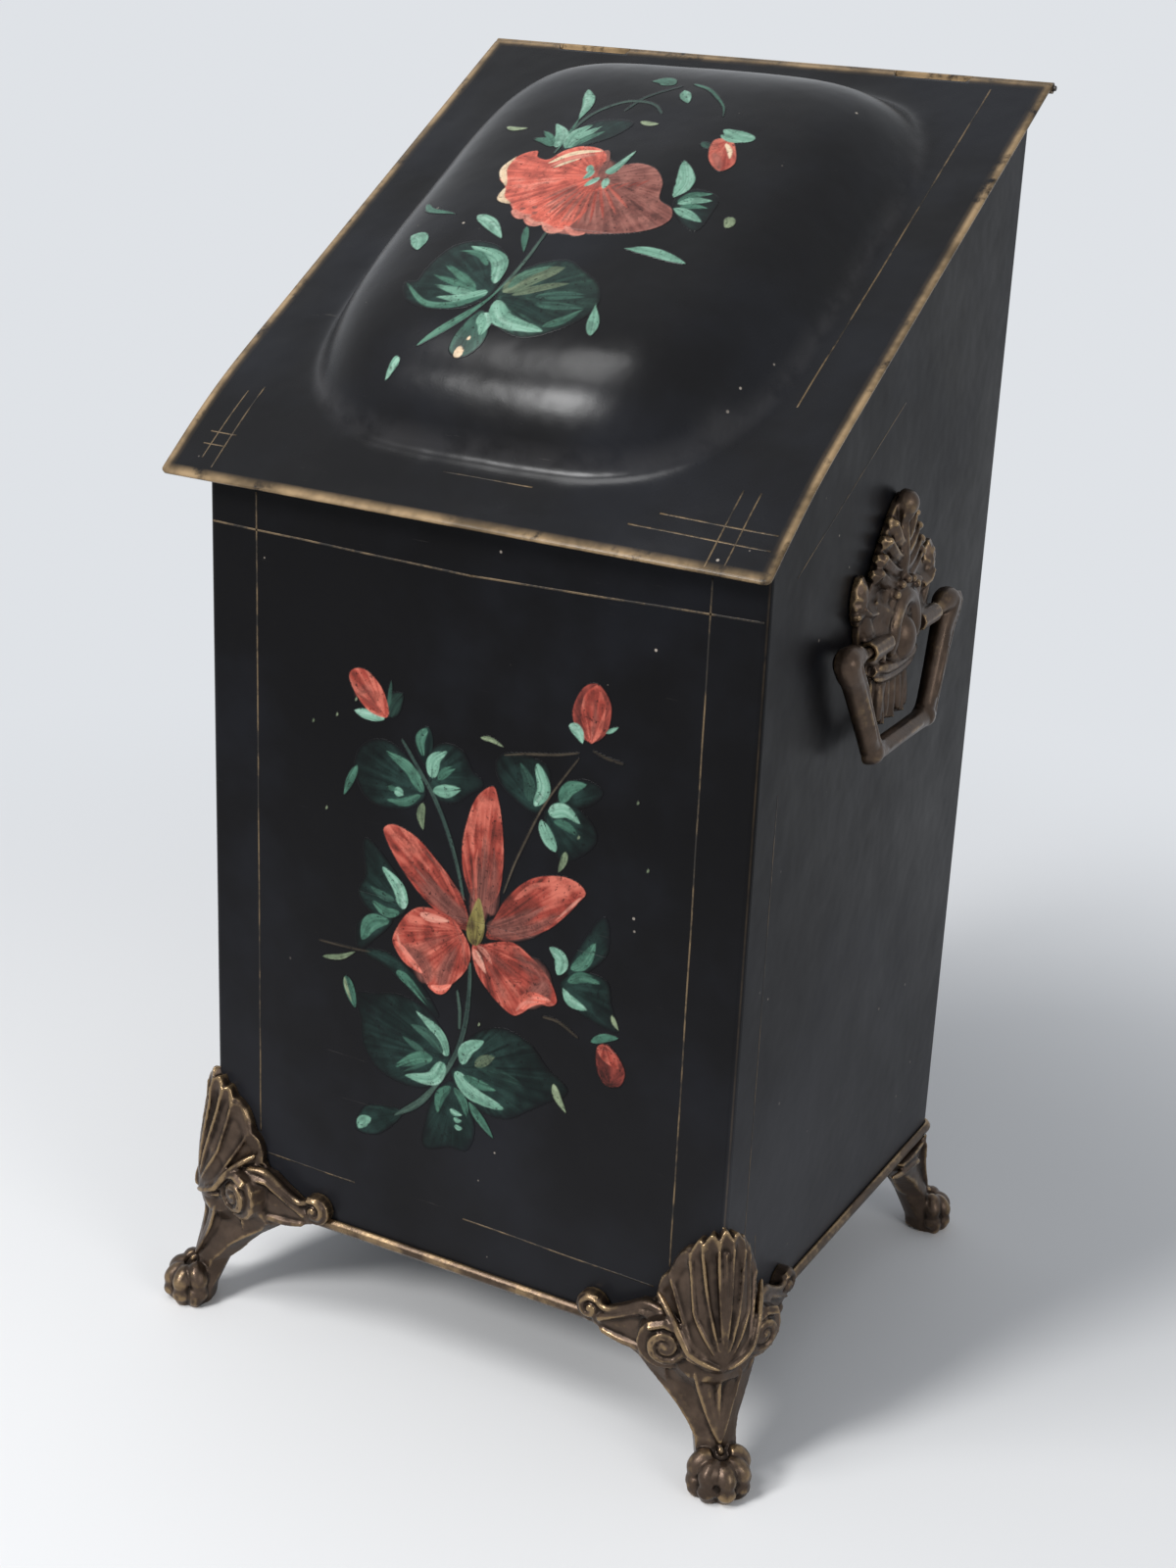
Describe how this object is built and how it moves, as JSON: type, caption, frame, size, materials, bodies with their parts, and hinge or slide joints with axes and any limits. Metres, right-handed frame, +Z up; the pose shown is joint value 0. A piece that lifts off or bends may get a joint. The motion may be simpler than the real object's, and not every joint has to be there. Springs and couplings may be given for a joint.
{
  "type": "coal scuttle",
  "caption": "Upright sheet-metal coal bin on cast paw feet, with a sloping domed lid hinged at the back and a drop handle on each side.",
  "frame": {"origin": "on the floor, under the middle of the bounding box", "axes": "+Z up, -Y the front with the painted spray, +X the right-hand handle; +Z is the longest extent"},
  "size_m": [0.353, 0.3222, 0.6517],
  "materials": {
    "japanned_sheet": "black japanned sheet iron, satin gloss",
    "gilt_bead": "thin gold paint over brass, worn brown",
    "browned_brass": "cast, browned, rubbed bright on the high edges",
    "steel_fasteners": "dull dark steel"
  },
  "bodies": {
    "scuttle": {"body_wrap": "japanned_sheet", "back_panel": "japanned_sheet", "bottom_plate": "japanned_sheet", "base_rim": "gilt_bead", "hinge_pin": "steel_fasteners", "foot_front_left": "browned_brass", "foot_bolt_front_left": "steel_fasteners", "foot_nut_front_left": "steel_fasteners", "foot_front_right": "browned_brass", "foot_bolt_front_right": "steel_fasteners", "foot_nut_front_right": "steel_fasteners", "foot_rear_left": "browned_brass", "foot_bolt_rear_left": "steel_fasteners", "foot_nut_rear_left": "steel_fasteners", "foot_rear_right": "browned_brass", "foot_bolt_rear_right": "steel_fasteners", "foot_nut_rear_right": "steel_fasteners", "handle_plate_left": "browned_brass", "handle_screw_left_upper": "steel_fasteners", "handle_screw_left_lower": "steel_fasteners", "handle_plate_right": "browned_brass", "handle_screw_right_upper": "steel_fasteners", "handle_screw_right_lower": "steel_fasteners"},
    "lid": {"lid_panel": "japanned_sheet"},
    "bail_left": {"handle_bail_left": "browned_brass"},
    "bail_right": {"handle_bail_right": "browned_brass"}
  },
  "joints": [
    {"name": "lid_hinge", "type": "hinge", "parent": "scuttle", "child": "lid", "pos_m": [0, 0.14302, 0.649], "axis": [-1, 0, 0], "range_deg": [0, 260]},
    {"name": "bail_right", "type": "hinge", "parent": "scuttle", "child": "bail_right", "pos_m": [0.1594, 0.00382, 0.403], "axis": [0, -1, 0], "range_deg": [0, 160]},
    {"name": "bail_left", "type": "hinge", "parent": "scuttle", "child": "bail_left", "pos_m": [-0.1594, 0.00382, 0.403], "axis": [0, 1, 0], "range_deg": [0, 160]}
  ]
}
